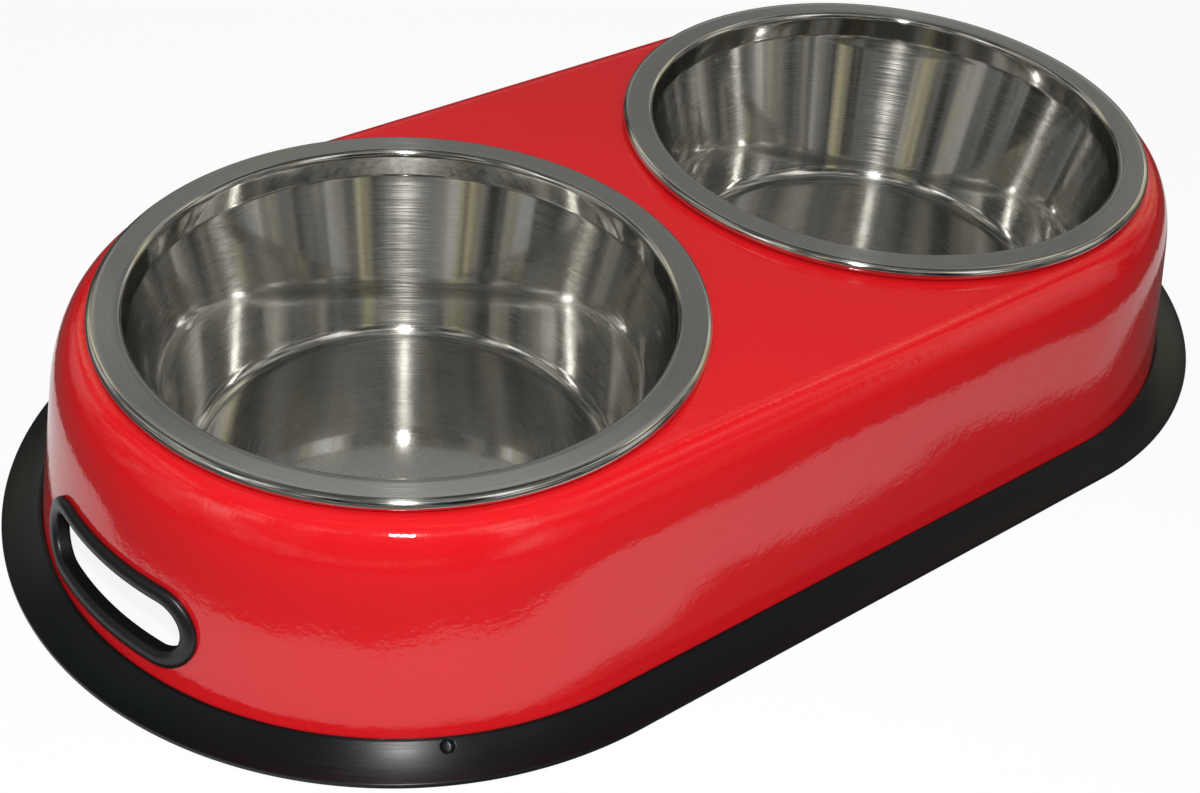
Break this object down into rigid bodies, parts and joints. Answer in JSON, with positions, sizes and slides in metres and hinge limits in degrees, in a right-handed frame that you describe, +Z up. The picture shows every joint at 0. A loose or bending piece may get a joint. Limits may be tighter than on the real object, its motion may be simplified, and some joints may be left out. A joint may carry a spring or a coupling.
{
  "type": "double pet bowl",
  "caption": "Low stadium-shaped feeding stand with lift-out steel bowls, finger slots in its rounded ends and a rubber foot ring.",
  "frame": {"origin": "on the ground under the middle of the stand", "axes": "+X along the stand from the left bowl to the right bowl, +Y to the back, +Z up"},
  "size_m": [0.485, 0.269, 0.0814],
  "materials": {
    "housing_paint": "gloss red enamel with fine orange peel",
    "foot_rubber": "matte moulded rubber",
    "trim_rubber": "satin moulded rubber",
    "bowl_steel": "satin rim, polished and finely scratched inside"
  },
  "bodies": {
    "stand": {"housing_shell": "housing_paint", "base_ring": "foot_rubber", "handle_grommet_left": "trim_rubber", "handle_grommet_right": "trim_rubber"},
    "left_bowl": {"bowl_left": "bowl_steel"},
    "right_bowl": {"bowl_right": "bowl_steel"}
  },
  "joints": [
    {"name": "left_bowl_lift", "type": "slide", "parent": "stand", "child": "left_bowl", "axis": [0, 0, 1], "range_m": [0, 0.09]},
    {"name": "right_bowl_lift", "type": "slide", "parent": "stand", "child": "right_bowl", "axis": [0, 0, 1], "range_m": [0, 0.09]}
  ]
}
